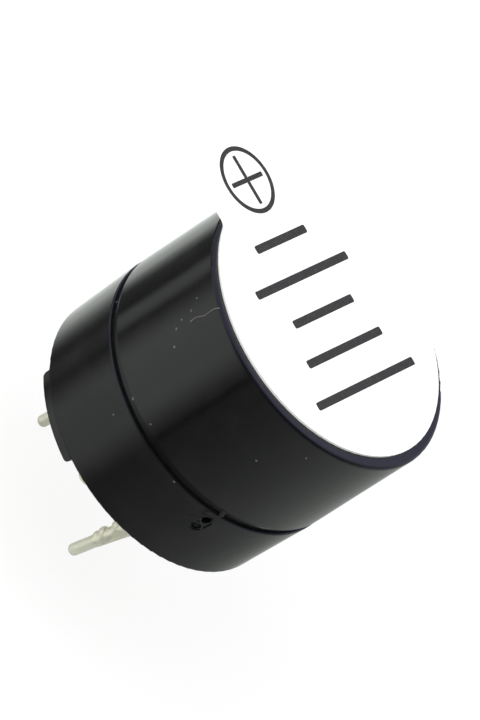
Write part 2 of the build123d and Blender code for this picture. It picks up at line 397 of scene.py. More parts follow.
@dataclass(frozen=True)
class FilmLabel(Finish):
    """White film with a faint mottle and a fine satin grain."""

    colour: Colour = (0.93, 0.93, 0.915)
    mottle_colour: Colour = (0.89, 0.89, 0.87)
    gloss: float = 0.42
    grain_dull: float = 0.12
    grain: Grain = Grain(0.06 * MM, 2.0)
    mottle: Grain = Grain(1.4 * MM, 4.0)
    mottle_span: Span = (0.4, 0.75)
    depth: float = 0.001 * MM

    def paint(self, shader: Shader) -> None:
        """Mottled white with a satin grain.

        Args:
            shader: the material's nodes.
        """
        mottle = shader.noise(self.mottle).smooth(*self.mottle_span)
        grain = shader.noise(self.grain)
        shader.surface(
            {
                "Base Color": shader.blend(self.colour, self.mottle_colour, mottle),
                "Roughness": self.gloss + grain * self.grain_dull,
                "Normal": shader.relief(grain, self.depth),
            }
        )


@dataclass(frozen=True)
class PrintInk(Finish):
    """Grey-black ink whose cover thins in fine spots."""

    colour: Colour = (0.022, 0.0215, 0.013)
    thin_colour: Colour = (0.07, 0.07, 0.05)
    gloss: float = 0.5
    thin_dull: float = 0.2
    spots: Grain = Grain(0.07 * MM)
    spot_span: Span = (0.5, 0.75)
    depth: float = 0.0008 * MM

    def paint(self, shader: Shader) -> None:
        """Ink with thin spots.

        Args:
            shader: the material's nodes.
        """
        thin = shader.noise(self.spots).smooth(*self.spot_span)
        shader.surface(
            {
                "Base Color": shader.blend(self.colour, self.thin_colour, thin),
                "Roughness": self.gloss + thin * self.thin_dull,
                "Normal": shader.relief(thin, self.depth),
            }
        )


@dataclass(frozen=True)
class DrawnWire(Finish):
    """Tinned wire with die lines along it and dull patches."""

    colour: Colour = (0.76, 0.77, 0.63)
    dull_colour: Colour = (0.62, 0.63, 0.52)
    dull_cover: float = 0.6
    metal: float = 0.45
    metal_loss: float = 0.15
    gloss: float = 0.38
    patch_dull: float = 0.15
    line_dull: float = 0.1
    lines: Grain = Grain(0.05 * MM, 2.0)
    length_share: float = 0.12
    patches: Grain = Grain(0.35 * MM, 4.0)
    patch_span: Span = (0.45, 0.7)
    patch_relief: float = 0.5
    depth: float = 0.003 * MM

    def paint(self, shader: Shader) -> None:
        """Bright metal with lines stretched along the wire.

        Args:
            shader: the material's nodes.
        """
        lines = shader.noise(self.lines, shader.stretched((1.0, 1.0, self.length_share)))
        patch = shader.noise(self.patches).smooth(*self.patch_span)
        shader.surface(
            {
                "Base Color": shader.blend(self.colour, self.dull_colour, patch * self.dull_cover),
                "Metallic": self.metal - patch * self.metal_loss,
                "Roughness": self.gloss + patch * self.patch_dull + lines * self.line_dull,
                "Normal": shader.relief(lines + patch * self.patch_relief, self.depth),
            }
        )


@dataclass(frozen=True)
class SolderMetal(Finish):
    """Solder, bright in the hollows and frosted on the lumps."""

    colour: Colour = (0.86, 0.85, 0.67)
    frost_colour: Colour = (0.66, 0.66, 0.57)
    metal: float = 0.5
    metal_gain: float = 0.2
    gloss: float = 0.3
    lump_dull: float = 0.2
    frost_dull: float = 0.1
    lumps: Grain = Grain(0.25 * MM, 3.0, 0.55)
    lump_span: Span = (0.4, 0.8)
    frost: Grain = Grain(0.07 * MM)
    frost_relief: float = 0.1
    depth: float = 0.02 * MM

    def paint(self, shader: Shader) -> None:
        """Lumpy metal with frosted patches.

        Args:
            shader: the material's nodes.
        """
        lumps = shader.noise(self.lumps)
        frost = shader.noise(self.frost)
        dull = lumps.smooth(*self.lump_span)
        shader.surface(
            {
                "Base Color": shader.blend(self.colour, self.frost_colour, dull),
                "Metallic": self.metal + dull * self.metal_gain,
                "Roughness": self.gloss + dull * self.lump_dull + frost * self.frost_dull,
                "Normal": shader.relief(lumps + frost * self.frost_relief, self.depth),
            }
        )


@dataclass(frozen=True)
class BoardLaminate(Finish):
    """Paper laminate, brown, with a faint criss-cross weave."""

    colour: Colour = (0.34, 0.22, 0.085)
    dark_colour: Colour = (0.22, 0.135, 0.05)
    gloss: float = 0.5
    mottle_dull: float = 0.15
    thread: float = 0.32 * MM
    weave_share: float = 0.4
    mottle: Grain = Grain(0.9 * MM, 4.0)
    depth: float = 0.004 * MM

    def paint(self, shader: Shader) -> None:
        """Weave of two waves, broken by a mottle.

        Args:
            shader: the material's nodes.
        """
        x, y, _ = shader.axes(shader.place())
        weave = (x.wave(self.thread) * y.wave(self.thread)).lifted()
        mottle = shader.noise(self.mottle)
        dark = weave * self.weave_share + mottle * (1.0 - self.weave_share)
        shader.surface(
            {
                "Base Color": shader.blend(self.colour, self.dark_colour, dark),
                "Roughness": self.gloss + mottle * self.mottle_dull,
                "Normal": shader.relief(weave, self.depth),
            }
        )


@dataclass(frozen=True)
class CastResin(Finish):
    """Cured resin, glossy, with a rolling skin."""

    colour: Colour = (0.03, 0.024, 0.018)
    thick_colour: Colour = (0.016, 0.013, 0.01)
    gloss: float = 0.18
    roll_dull: float = 0.12
    rolls: Grain = Grain(0.8 * MM, 3.0, 0.5)
    depth: float = 0.04 * MM

    def paint(self, shader: Shader) -> None:
        """Dark gloss over slow rolls.

        Args:
            shader: the material's nodes.
        """
        rolls = shader.noise(self.rolls)
        shader.surface(
            {
                "Base Color": shader.blend(self.colour, self.thick_colour, rolls),
                "Roughness": self.gloss + rolls * self.roll_dull,
                "Normal": shader.relief(rolls, self.depth),
            }
        )


@dataclass(frozen=True)
class WorkedMetal(Finish):
    """Plated, rolled or turned metal with fine tool lines around the axis."""

    colour: Colour = (0.6, 0.6, 0.58)
    stain_colour: Colour = (0.42, 0.41, 0.38)
    stain_loss: float = 0.1
    gloss: float = 0.3
    stain_dull: float = 0.15
    line_dull: float = 0.04
    line: float = 0.08 * MM
    stains: Grain = Grain(1.1 * MM, 4.0)
    stain_span: Span = (0.45, 0.75)
    depth: float = 0.002 * MM

    def paint(self, shader: Shader) -> None:
        """Metal with rings of tool lines and faint stains.

        Args:
            shader: the material's nodes.
        """
        x, y, _ = shader.axes(shader.place())
        rings = (x * x + y * y).root().wave(self.line)
        stain = shader.noise(self.stains).smooth(*self.stain_span)
        shader.surface(
            {
                "Base Color": shader.blend(self.colour, self.stain_colour, stain),
                "Metallic": 1.0 - stain * self.stain_loss,
                "Roughness": self.gloss + stain * self.stain_dull + rings * self.line_dull,
                "Normal": shader.relief(rings.lifted(), self.depth),
            }
        )


@dataclass(frozen=True)
class SinteredFerrite(Finish):
    """Dark sintered magnet with a pitted grain, and painted shade in the pits."""

    colour: Colour = (0.045, 0.045, 0.05)
    pit_shade_colour: Colour = (0.02, 0.02, 0.022)
    metal: float = 0.2
    metal_gain: float = 0.2
    gloss: float = 0.55
    pit_dull: float = 0.2
    pit: float = 0.22 * MM
    pit_span: Span = (0.1, 0.5)
    grain: Grain = Grain(0.1 * MM)
    depth: float = 0.012 * MM

    def paint(self, shader: Shader) -> None:
        """Pits scattered over a dull dark body, the pits darkened with painted shade.

        Args:
            shader: the material's nodes.
        """
        pits = 1.0 - shader.cells(self.pit).smooth(*self.pit_span)
        grain = shader.noise(self.grain)
        # Painted shade: the pits, sunk by the relief, take the darker pit shade colour.
        shader.surface(
            {
                "Base Color": shader.blend(self.colour, self.pit_shade_colour, pits),
                "Metallic": self.metal + grain * self.metal_gain,
                "Roughness": self.gloss + pits * self.pit_dull,
                "Normal": shader.relief(grain - pits, self.depth),
            }
        )


@dataclass(frozen=True)
class EnamelledCopper(Finish):
    """Enamelled copper wire, wound in fine turns, with painted shade in the gaps between them."""

    colour: Colour = (0.62, 0.25, 0.09)
    gap_shade_colour: Colour = (0.2, 0.07, 0.025)
    metal: float = 0.85
    metal_gain: float = 0.1
    gloss: float = 0.25
    tint_dull: float = 0.15
    turn: float = 0.11 * MM
    turn_share: float = 0.7
    tint: Grain = Grain(0.5 * MM)
    depth: float = 0.03 * MM

    def paint(self, shader: Shader) -> None:
        """Turns as waves up the axis, with painted shade in the gaps between turns and the enamel's
        uneven tint.

        Args:
            shader: the material's nodes.
        """
        _, _, z = shader.axes(shader.place())
        turns = z.wave(self.turn).lifted()
        tint = shader.noise(self.tint)
        # Painted shade: the colour falls to the gap shade colour in the troughs between turns.
        bright = turns * self.turn_share + tint * (1.0 - self.turn_share)
        shader.surface(
            {
                "Base Color": shader.blend(self.gap_shade_colour, self.colour, bright),
                "Metallic": self.metal + turns * self.metal_gain,
                "Roughness": self.gloss + tint * self.tint_dull,
                "Normal": shader.relief(turns, self.depth),
            }
        )


@dataclass(frozen=True)
class DustGrain(Finish):
    """Pale mineral and skin dust."""

    colour: Colour = (0.15, 0.15, 0.14)
    shade_colour: Colour = (0.04, 0.041, 0.04)
    gloss: float = 0.75
    tone_dull: float = 0.2
    tone: Grain = Grain(0.05 * MM)
    depth: float = 0.01 * MM

    def paint(self, shader: Shader) -> None:
        """Chalky grains of uneven tone.

        Args:
            shader: the material's nodes.
        """
        tone = shader.noise(self.tone)
        shader.surface(
            {
                "Base Color": shader.blend(self.colour, self.shade_colour, tone),
                "Roughness": self.gloss + tone * self.tone_dull,
                "Normal": shader.relief(tone, self.depth),
            }
        )


CASE = MouldedPlastic("case_gloss")
FLASH = MouldedPlastic(
    "case_flash",
    colour=(0.006, 0.0058, 0.0036),
    haze_colour=(0.014, 0.0132, 0.0088),
    gloss=0.45,
)
TORN = MouldedPlastic(
    "case_torn",
    colour=(0.024, 0.026, 0.024),
    haze_colour=(0.05, 0.053, 0.05),
    gloss=0.5,
)
# Painted shade: the case's plastic, set darker and greener to stand for the shade inside the gate's
# puncture.
SHADED_PLUG = MouldedPlastic(
    "case_plug_painted_shade",
    colour=(0.003, 0.0045, 0.003),
    haze_colour=(0.006, 0.008, 0.006),
    gloss=0.6,
)
COMPONENT = MouldedPlastic("moulded_component", colour=(0.02, 0.02, 0.021), gloss=0.4)
FILM = FilmLabel("satin_film")
INK = PrintInk("label_ink")
WIRE = DrawnWire("drawn_wire")
SOLDER = SolderMetal("solder_joint")
LAMINATE = BoardLaminate("paper_laminate")
RESIN = CastResin("cast_resin")
YOKE = WorkedMetal("plated_steel")
SPRING = WorkedMetal("rolled_spring", colour=(0.64, 0.64, 0.62), line=0.04 * MM)
BRASS = WorkedMetal("turned_brass", colour=(0.74, 0.56, 0.24), stain_colour=(0.5, 0.35, 0.13))
FERRITE = SinteredFerrite("sintered_ferrite")
COPPER = EnamelledCopper("enamelled_copper")
DUST = DustGrain("dust_grain")


def dress(node: str, finish: Finish) -> None:
    """Gives a CAD node its finish.

    Args:
        node: the node's name.
        finish: what it is made of.
    """
    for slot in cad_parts[node].material_slots:
        slot.material = finish.material()
    log.info("dressed %s in %s", node, finish.name)


class Piece:
    """A new mesh of the object, shaped with bmesh operators at its place in the frame."""

    def __init__(self, name: str, finish: Finish, slot: Slot) -> None:
        """Starts an empty mesh.

        Args:
            name: the piece's name.
            finish: what it is made of.
            slot: the record's slot that it belongs to; it is kept on the piece and not used.
        """
        self.name = name
        self.finish = finish
        self.slot = slot
        self.bm = bmesh.new()

    def rectangle(self, length: float, width: float) -> list[bmesh.types.BMFace]:
        """Adds a flat rectangle with round corners around the origin.

        Args:
            length: size along X.
            width: size along Y.

        Returns:
            Its faces.
        """
        made = bmesh.ops.create_grid(self.bm, x_segments=1, y_segments=1, size=HALF_UNIT)
        bmesh.ops.scale(self.bm, vec=(length, width, 1.0), verts=made["verts"])
        corners = bmesh.ops.bevel(
            self.bm,
            geom=made["verts"],
            offset=min(length, width) * CORNER_SHARE,
            affect="VERTICES",
            segments=CORNER_STEPS,
            profile=0.5,
            material=-1,
        )
        return list({face for vert in corners["verts"] for face in vert.link_faces})

    def annulus(self, outer: float, inner: float, segments: int) -> list[bmesh.types.BMFace]:
        """Adds a flat ring around the origin.

        Args:
            outer: outer radius.
            inner: inner radius.
            segments: sides of each circle.

        Returns:
            Its faces.
        """
        edges = []
        for radius in (outer, inner):
            made = bmesh.ops.create_circle(self.bm, cap_ends=False, segments=segments, radius=radius)
            edges += {edge for vert in made["verts"] for edge in vert.link_edges}
        return bmesh.ops.bridge_loops(self.bm, edges=edges)["faces"]

    def thicken(self, faces: Sequence[bmesh.types.BMFace], height: float) -> list[bmesh.types.BMVert]:
        """Raises flat faces into a slab.

        Args:
            faces: faces to raise.
            height: thickness of the slab.

        Returns:
            Every vertex of the slab.
        """
        base = {vert for face in faces for vert in face.verts}
        raised = bmesh.ops.extrude_face_region(self.bm, geom=list(faces), use_keep_orig=True)
        top = [item for item in raised["geom"] if isinstance(item, bmesh.types.BMVert)]
        bmesh.ops.translate(self.bm, vec=(0.0, 0.0, height), verts=top)
        return list(base) + top

    def move(self, verts: Iterable[bmesh.types.BMVert], matrix: Matrix) -> None:
        """Puts vertices in their place in the frame."""
        bmesh.ops.transform(self.bm, matrix=matrix, verts=list(verts))

    @staticmethod
    def roughen(verts: Iterable[bmesh.types.BMVert], amount: Sequence[float], rng: random.Random) -> None:
        """Shifts vertices by up to an amount along each axis."""
        for vert in verts:
            vert.co += Vector([rng.uniform(-reach, reach) for reach in amount])

    def finish_up(self, smooth: bool = True) -> None:
        """Closes the mesh, dresses it and rides it on the body.

        Args:
            smooth: whether its faces are shaded smooth.
        """
        bmesh.ops.remove_doubles(self.bm, verts=self.bm.verts, dist=WELD)
        bmesh.ops.recalc_face_normals(self.bm, faces=self.bm.faces)
        for face in self.bm.faces:
            face.smooth = smooth
        mesh = bpy.data.meshes.new(self.name)
        self.bm.to_mesh(mesh)
        self.bm.free()
        mesh.materials.append(self.finish.material())
        made = bpy.data.objects.new(self.name, mesh)
        bpy.context.scene.collection.objects.link(made)
        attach(made, BODY)
        log.info("built %s with %d faces", self.name, len(mesh.polygons))


def heading(bearing: float) -> Vector:
    """Level unit vector on a bearing, in degrees from +X towards +Y."""
    return Vector((math.cos(math.radians(bearing)), math.sin(math.radians(bearing)), 0.0))


def axes_frame(across: Vector, up: Vector, out: Vector) -> Matrix:
    """Turn that takes X, Y and Z to three directions."""
    return Matrix((across, up, out)).transposed().to_4x4()


@dataclass(frozen=True)
class Mark:
    """A place on a wall: bearing in degrees and height in metres."""

    bearing: float
    height: float


class Wall:
    """The outer wall of one half of the case, on which small things sit."""

    def __init__(self, half: Half) -> None:
        """Reads the wall from its CAD node.

        Args:
            half: which half of the case.
        """
        node = half.value
        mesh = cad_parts[node].data
        corners = [vert.co.copy() for vert in mesh.vertices]
        faces = [tuple(face.vertices) for face in mesh.polygons]
        self.tree = BVHTree.FromPolygons(corners, faces)
        low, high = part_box(node)
        self.reach = (high - low).length
        self.radius = (high - low).x / 2

    def seat(self, mark: Mark) -> Matrix:
        """Frame on the wall, with Z out of it and Y up it.

        Args:
            mark: the place.

        Returns:
            The frame as a matrix.
        """
        out = heading(mark.bearing)
        start = out * self.reach + UP * mark.height
        point = self.tree.ray_cast(start, -out)[0]
        return Matrix.Translation(point) @ axes_frame(UP.cross(out), UP, out)

    def wrap(self, verts: Iterable[bmesh.types.BMVert], mark: Mark, level: float | None = None) -> None:
        """Wraps a flat shape round the wall, with X along it, Y up it and Z out of it.

        Args:
            verts: vertices of the flat shape.
            mark: where its middle goes.
            level: height at which the wall's radius is read, by default each vertex's own.
        """
        for vert in verts:
            height = mark.height + vert.co.y
            read = height if level is None else level
            seat = self.seat(Mark(mark.bearing + math.degrees(vert.co.x / self.radius), read))
            vert.co = seat @ Vector((0.0, height - read, vert.co.z))


@dataclass(frozen=True)
class Arc:
    """A torn rim round part of a puncture: the puncture, where the rim starts and how far it runs."""

    mark: Mark
    start: float
    sweep: float


@dataclass(frozen=True)
class Scuff:
    """A short scratch on the wall: its middle, its length and its turn from level."""

    mark: Mark
    length: float
    turn: float


@dataclass(frozen=True)
class Speck:
    """A grain of dust on one half of the case."""

    half: Half
    mark: Mark
    size: float


@dataclass
class Case:
    """The two moulded halves, with their flash and the dust on them."""

    specks: tuple[Speck, ...] = (
        Speck(Half.CAP, Mark(77.5, 4.015 * MM), 0.09 * MM),
        Speck(Half.CAP, Mark(106.0, 7.67 * MM), 0.1 * MM),
        Speck(Half.CAP, Mark(108.05, 7.32 * MM), 0.13 * MM),
        Speck(Half.CAP, Mark(113.7, 6.98 * MM), 0.11 * MM),
        Speck(Half.CAP, Mark(105.0, 8.22 * MM), 0.1 * MM),
        Speck(Half.CAP, Mark(101.7, 8.6 * MM), 0.08 * MM),
        Speck(Half.CAP, Mark(121.7, 4.3 * MM), 0.14 * MM),
        Speck(Half.BASE, Mark(122.6, 3.13 * MM), 0.09 * MM),
        Speck(Half.CAP, Mark(133.1, 4.51 * MM), 0.08 * MM),
        Speck(Half.BASE, Mark(155.3, 3.8 * MM), 0.11 * MM),
        Speck(Half.CAP, Mark(165.7, 7.22 * MM), 0.1 * MM),
        Speck(Half.CAP, Mark(176.3, 8.77 * MM), 0.09 * MM),
    )
    speck_flatness: float = 0.45
    speck_roughness: float = 0.12
    speck_stretch: Span = (0.7, 1.3)
    speck_detail: int = 2
    fibre_width: float = 0.052 * MM
    fibre_lift: float = 0.01 * MM
    fibre_end: float = 1.6
    fibre_rounding: int = 2
    fibre_order: int = 3
    fibre_route: tuple[Mark, ...] = (
        Mark(108.85, 8.07 * MM),
        Mark(108.5, 8.26 * MM),
        Mark(108.7, 8.47 * MM),
        Mark(109.7, 8.69 * MM),
        Mark(109.95, 8.92 * MM),
        Mark(109.7, 9.23 * MM),
        Mark(109.9, 9.45 * MM),
        Mark(110.6, 9.56 * MM),
    )
    bridge_mark: Mark = Mark(177.4, 4.06 * MM)
    bridge_level: float = 4.5 * MM
    bridge_width: float = 0.19 * MM
    bridge_height: float = 0.44 * MM
    bridge_slant: float = 0.3
    bridge_thick: float = 0.1 * MM
    bridge_ragged: float = 0.035 * MM
    bridge_columns: int = 5
    bridge_rows: int = 9
    smear_mark: Mark = Mark(173.4, 3.69 * MM)
    smear_length: float = 0.68 * MM
    smear_height: float = 0.26 * MM
    smear_thick: float = 0.008 * MM
    smear_ragged: float = 0.04 * MM
    smear_sides: int = 40
    arcs: tuple[Arc, ...] = (
        Arc(Mark(175.63, 2.81 * MM), -5.0, 135.0),
        Arc(Mark(176.17, 3.33 * MM), 190.0, 110.0),
        Arc(Mark(176.17, 3.33 * MM), 20.0, 60.0),
    )
    arc_radius: float = 0.235 * MM
    arc_width: float = 0.05 * MM
    arc_thick: float = 0.05 * MM
    arc_ragged: float = 0.01 * MM
    arc_steps: int = 20
    plug_mark: Mark = Mark(175.63, 2.81 * MM)
    plug_width: float = 0.38 * MM
    plug_height: float = 0.34 * MM
    plug_ragged: float = 0.03
    plug_rise: float = 0.3
    plug_detail: int = 3
    scuffs: tuple[Scuff, ...] = (
        Scuff(Mark(170.6, 3.2 * MM), 0.3 * MM, 62.0),
        Scuff(Mark(173.5, 2.82 * MM), 0.22 * MM, 58.0),
        Scuff(Mark(176.6, 2.52 * MM), 0.2 * MM, -20.0),
        Scuff(Mark(178.3, 2.95 * MM), 0.24 * MM, 12.0),
    )
    scuff_width: float = 0.022 * MM
    scuff_thick: float = 0.004 * MM
    seed: int = 7

    def build(self) -> None:
        """Builds the flash, the gate's torn rims, the dust and the fibre."""
        rng = random.Random(self.seed)
        self.build_bridge(rng)
        self.build_smear(rng)
        self.build_tears(rng)
        self.build_plug(rng)
        self.build_scuffs()
        self.build_dust()
        self.build_fibre()

    def build_bridge(self, rng: random.Random) -> None:
        """Web of plastic across the seam's groove, slanted and ragged.

        Args:
            rng: source of its raggedness.
        """
        piece = Piece("seam_bridge", FLASH, Slot.CASE)
        made = bmesh.ops.create_grid(
            piece.bm,
            x_segments=self.bridge_columns,
            y_segments=self.bridge_rows,
            size=HALF_UNIT,
        )
        piece.move(made["verts"], Matrix.Diagonal((self.bridge_width, self.bridge_height, 1.0, 1.0)))
        piece.move(made["verts"], Matrix.Shear("XZ", 4, (-self.bridge_slant, 0.0)))
        piece.roughen(made["verts"], (self.bridge_ragged, 0.0, 0.0), rng)
        verts = piece.thicken(piece.bm.faces[:], -self.bridge_thick)
        Wall(Half.CAP).wrap(verts, self.bridge_mark, self.bridge_level)
        piece.finish_up()

    def build_smear(self, rng: random.Random) -> None:
        """Thin ragged smear of dull plastic under the seam.

        Args:
            rng: source of its raggedness.
        """
        piece = Piece("seam_smear", FLASH, Slot.CASE)
        made = bmesh.ops.create_circle(
            piece.bm,
            cap_ends=True,
            cap_tris=True,
            segments=self.smear_sides,
            radius=HALF_UNIT,
        )
        piece.move(made["verts"], Matrix.Diagonal((self.smear_length, self.smear_height, 1.0, 1.0)))
        piece.roughen(made["verts"], (self.smear_ragged, self.smear_ragged, 0.0), rng)
        verts = piece.thicken(piece.bm.faces[:], self.smear_thick)
        Wall(Half.BASE).wrap(verts, self.smear_mark)
        piece.finish_up()

    def build_tears(self, rng: random.Random) -> None:
        """Ragged rims round the gate's punctures.

        Args:
            rng: source of their raggedness.
        """
        piece = Piece("gate_tears", TORN, Slot.CASE)
        wall = Wall(Half.BASE)
        for arc in self.arcs:
            strip = bmesh.ops.create_grid(piece.bm, x_segments=1, y_segments=1, size=HALF_UNIT)["verts"]
            piece.move(strip, Matrix.Diagonal((self.arc_width, self.arc_thick, 1.0, 1.0)))
            piece.move(strip, Matrix.Rotation(math.radians(QUARTER_TURN), 4, "X"))
            piece.move(strip, Matrix.Translation((self.arc_radius, 0.0, self.arc_thick / 2)))
            piece.move(strip, Matrix.Rotation(math.radians(arc.start), 4, "Z"))
            faces = {face for vert in strip for face in vert.link_faces}
            before = set(piece.bm.verts) - set(strip)
            bmesh.ops.spin(
                piece.bm,
                geom=list(faces),
                axis=(0.0, 0.0, 1.0),
                angle=math.radians(arc.sweep),
                steps=self.arc_steps,
                use_merge=False,
                use_normal_flip=False,
                use_duplicate=False,
            )
            verts = [vert for vert in piece.bm.verts if vert not in before]
            piece.roughen(verts, (self.arc_ragged,) * 3, rng)
            wall.wrap(verts, arc.mark)
        piece.finish_up()

    def build_plug(self, rng: random.Random) -> None:
        """Lump of torn plastic at the bottom of one puncture, coloured darker and greener than the case
        as painted shade of the hollow.

        Args:
            rng: source of its raggedness.
        """
        piece = Piece("gate_plug", SHADED_PLUG, Slot.CASE)
        made = bmesh.ops.create_icosphere(piece.bm, subdivisions=self.plug_detail, radius=HALF_UNIT)
        lump = made["verts"]
        piece.roughen(lump, (self.plug_ragged,) * 3, rng)
        piece.move(lump, Matrix.Diagonal((self.plug_width, self.plug_width, self.plug_height, 1.0)))
        rise = Matrix.Translation((0.0, 0.0, self.plug_height * self.plug_rise))
        piece.move(lump, Wall(Half.BASE).seat(self.plug_mark) @ rise)
        piece.finish_up()

    def build_scuffs(self) -> None:
        """Short scratches beside the gate."""
        piece = Piece("gate_scuffs", FLASH, Slot.CASE)
        wall = Wall(Half.BASE)
        for scuff in self.scuffs:
            line = piece.rectangle(scuff.length, self.scuff_width)
            verts = piece.thicken(line, self.scuff_thick)
            piece.move(verts, Matrix.Rotation(math.radians(scuff.turn), 4, "Z"))
            wall.wrap(verts, scuff.mark)
        piece.finish_up()

    def build_dust(self) -> None:
        """Flattened grains, each seated on its wall."""
        piece = Piece("dust_specks", DUST, Slot.CASE)
        rng = random.Random(self.seed)
        walls = {half: Wall(half) for half in Half}
        for speck in self.specks:
            grain = bmesh.ops.create_icosphere(
                piece.bm,
                subdivisions=self.speck_detail,
                radius=speck.size / 2,
            )["verts"]
            piece.roughen(grain, (speck.size * self.speck_roughness,) * 3, rng)
            squash = Matrix.Diagonal((1.0, rng.uniform(*self.speck_stretch), self.speck_flatness, 1.0))
            piece.move(grain, walls[speck.half].seat(speck.mark) @ squash)
        piece.finish_up()

    def build_fibre(self) -> None:
        """Fine fibre that lies on the cap's wall, thicker at its lower end."""
        wall = Wall(Half.CAP)
        line = bpy.data.curves.new("fibre_line", "CURVE")
        line.dimensions = "3D"
        line.bevel_depth = self.fibre_width / 2
        line.bevel_resolution = self.fibre_rounding
        line.use_fill_caps = True
        spline = line.splines.new("NURBS")
        spline.points.add(len(self.fibre_route) - 1)
        for point, mark in zip(spline.points, self.fibre_route):
            point.co = (*(wall.seat(mark) @ Vector((0.0, 0.0, self.fibre_lift))), 1.0)
        spline.points[0].radius = self.fibre_end
        spline.order_u = self.fibre_order
        spline.use_endpoint_u = True
        holder = bpy.data.objects.new("fibre_line", line)
        bpy.context.scene.collection.objects.link(holder)
        mesh = bpy.data.meshes.new_from_object(holder)
        bpy.data.objects.remove(holder)
        piece = Piece("wall_fibre", DUST, Slot.CASE)
        piece.bm.from_mesh(mesh)
        piece.finish_up()

    def dress(self) -> None:
        """Gives both halves their gloss."""
        for half in Half:
            dress(half.value, CASE)


@dataclass
class Label:
    """The film over the sound hole, with its polarity sign and print."""

    print_bearing: float = -45.75
    ink_height: float = 0.006 * MM
    sign_across: float = 0.12 * MM
    sign_up: float = 6.33 * MM
    sign_dia: float = 2.84 * MM
    stroke: float = 0.195 * MM
    arm: float = 2.09 * MM
    row_across: float = 0.04 * MM
    first_row_up: float = 3.75 * MM
    row_pitch: float = 1.575 * MM
    row_height: float = 0.34 * MM
    row_lengths: tuple[float, ...] = (3.53 * MM, 6.45 * MM, 4.21 * MM, 5.28 * MM, 6.93 * MM)
    ring_sides: int = 128

    def spot(self, across: float, up: float) -> Matrix:
        """Frame on top of the film, with X along the rows of print and Y up the page.

        Args:
            across: distance along the rows from the case's axis.
            up: distance up the page from it.

        Returns:
            The frame as a matrix.
        """
        along = heading(self.print_bearing)
        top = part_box("seal_label")[1].z
        page = Matrix.Translation((0.0, 0.0, top)) @ axes_frame(along, UP.cross(along), UP)
        return page @ Matrix.Translation((across, up, 0.0))

    def bar(self, piece: Piece, length: float, width: float, spot: Matrix) -> None:
        """Adds a bar of ink.

        Args:
            piece: what it is part of.
            length: size along the rows.
            width: size up the page.
            spot: frame at its middle.
        """
        faces = piece.rectangle(length, width)
        piece.move(piece.thicken(faces, self.ink_height), spot)

    def build(self) -> None:
        """Builds the sign and the rows of print."""
        self.build_ring()
        self.build_cross()
        self.build_rows()

    def build_ring(self) -> None:
        """Ring of the polarity sign."""
        piece = Piece("polarity_ring", INK, Slot.FILM)
        outer = self.sign_dia / 2
        faces = piece.annulus(outer, outer - self.stroke, self.ring_sides)
        piece.move(piece.thicken(faces, self.ink_height), self.spot(self.sign_across, self.sign_up))
        piece.finish_up(smooth=False)

    def build_cross(self) -> None:
        """Cross of the polarity sign, one long arm and two short ones that meet it."""
        piece = Piece("polarity_cross", INK, Slot.FILM)
        sign = self.spot(self.sign_across, self.sign_up)
        self.bar(piece, self.stroke, self.arm, sign)
        half = (self.arm - self.stroke) / 2
        for way in (-1.0, 1.0):
            shift = Matrix.Translation((way * (half + self.stroke) / 2, 0.0, 0.0))
            self.bar(piece, half, self.stroke, sign @ shift)
        piece.finish_up(smooth=False)

    def build_rows(self) -> None:
        """Rows of print as plain bars."""
        piece = Piece("print_rows", INK, Slot.FILM)
        for number, length in enumerate(self.row_lengths):
            up = self.first_row_up - number * self.row_pitch
            self.bar(piece, length, self.row_height, self.spot(self.row_across, up))
        piece.finish_up(smooth=False)

    def dress(self) -> None:
        """Gives the label its film."""
        dress("seal_label", FILM)


@dataclass
class Terminals:
    """The pins and the solder under the board."""

    wires: tuple[str, ...] = ("positive_pin", "negative_pin")
    joints: tuple[str, ...] = ("pin_solder", "lead_solder")

    def dress(self) -> None:
        """Gives the pins their tinning and the joints their solder."""
        for node in self.wires:
            dress(node, WIRE)
        for node in self.joints:
            dress(node, SOLDER)


@dataclass
class Works:
    """The board and the magnetic drive inside the case."""

    finishes: dict[str, Finish] = field(
        default_factory=lambda: {
            "circuit_board": LAMINATE,
            "board_sealant": RESIN,
            "yoke_plate": YOKE,
            "iron_core": YOKE,
            "ring_magnet": FERRITE,
            "coil_winding": COPPER,
            "coil_leads": COPPER,
            "diaphragm": SPRING,
            "diaphragm_weight": BRASS,
            "driver_transistor": COMPONENT,
            "transistor_leads": WIRE,
            "base_resistor": COMPONENT,
            "component_solder": SOLDER,
        }
    )

    def dress(self) -> None:
        """Gives each inner piece its finish."""
        for node, finish in self.finishes.items():
            dress(node, finish)


@dataclass(frozen=True)
class Panel:
    """A panel of the tent, with its bearing, half width and soft edge in degrees, and its level.

    A level below 0 makes it a dark panel, which takes light away from its row.
    """

    middle: float
    half: float
    soft: float
    level: float


@dataclass(frozen=True)
class Row:
    """A ring of panels round the object, and the level of the gaps between them."""

    gap: float
    panels: tuple[Panel, ...]


